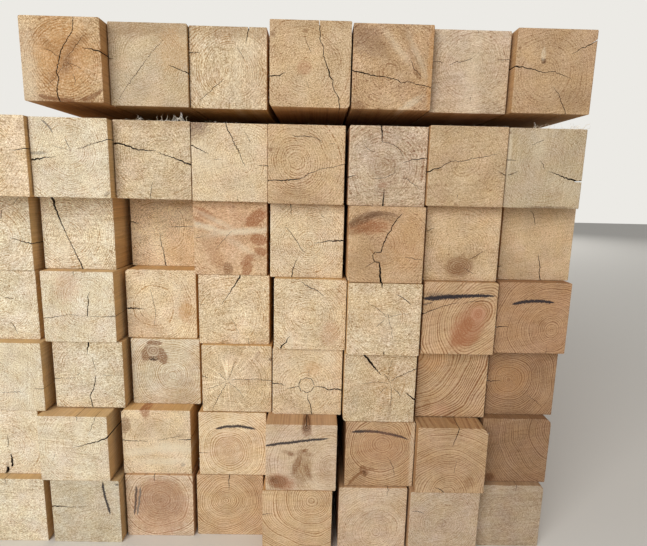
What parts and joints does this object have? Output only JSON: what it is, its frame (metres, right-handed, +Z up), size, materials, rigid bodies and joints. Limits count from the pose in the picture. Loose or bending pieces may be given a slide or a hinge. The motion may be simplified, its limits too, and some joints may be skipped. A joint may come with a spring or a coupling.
{
  "type": "stack of squared timber posts",
  "caption": "Stack of rough-sawn squared softwood posts laid in close layers, the top layer raised on thin spacer battens; end grain with drying checks faces the front.",
  "frame": {"origin": "on the floor, under the middle of the stack's overall box", "axes": "+X along a layer, to the right as seen from the front ends; +Y along the posts, from the front ends to the back; +Z up"},
  "size_m": [0.8566, 3.109, 0.728],
  "materials": {
    "cream_wood": "rough-sawn, unfinished",
    "straw_wood": "rough-sawn, unfinished",
    "honey_wood": "rough-sawn, unfinished",
    "tan_wood": "rough-sawn, unfinished",
    "pink_wood": "rough-sawn, unfinished",
    "batten_wood": "rough-sawn, unfinished"
  },
  "bodies": {
    "root": {"batten_1": "batten_wood", "batten_2": "batten_wood", "batten_3": "batten_wood", "layer1_post1": "cream_wood", "layer1_post2": "cream_wood", "layer1_post3": "pink_wood", "layer1_post4": "honey_wood", "layer1_post5": "honey_wood", "layer1_post6": "tan_wood", "layer1_post7": "straw_wood", "layer1_post8": "straw_wood", "layer2_post1": "cream_wood", "layer2_post2": "cream_wood", "layer2_post3": "honey_wood", "layer2_post4": "pink_wood", "layer2_post5": "pink_wood", "layer2_post6": "pink_wood", "layer2_post7": "tan_wood", "layer2_post8": "straw_wood", "layer3_post1": "cream_wood", "layer3_post2": "cream_wood", "layer3_post3": "pink_wood", "layer3_post4": "straw_wood", "layer3_post5": "honey_wood", "layer3_post6": "straw_wood", "layer3_post7": "tan_wood", "layer3_post8": "pink_wood", "layer4_post1": "cream_wood", "layer4_post2": "cream_wood", "layer4_post3": "straw_wood", "layer4_post4": "straw_wood", "layer4_post5": "tan_wood", "layer4_post6": "cream_wood", "layer4_post7": "pink_wood", "layer4_post8": "pink_wood", "layer5_post1": "cream_wood", "layer5_post2": "cream_wood", "layer5_post3": "straw_wood", "layer5_post4": "honey_wood", "layer5_post5": "cream_wood", "layer5_post6": "honey_wood", "layer5_post7": "tan_wood", "layer5_post8": "tan_wood", "layer6_post1": "cream_wood", "layer6_post2": "cream_wood", "layer6_post3": "straw_wood", "layer6_post4": "cream_wood", "layer6_post5": "honey_wood", "layer6_post6": "pink_wood", "layer6_post7": "honey_wood", "layer6_post8": "straw_wood", "layer7_post2": "honey_wood", "layer7_post3": "straw_wood", "layer7_post4": "cream_wood", "layer7_post5": "honey_wood", "layer7_post6": "tan_wood", "layer7_post7": "pink_wood", "layer7_post8": "tan_wood"}
  },
  "joints": []
}
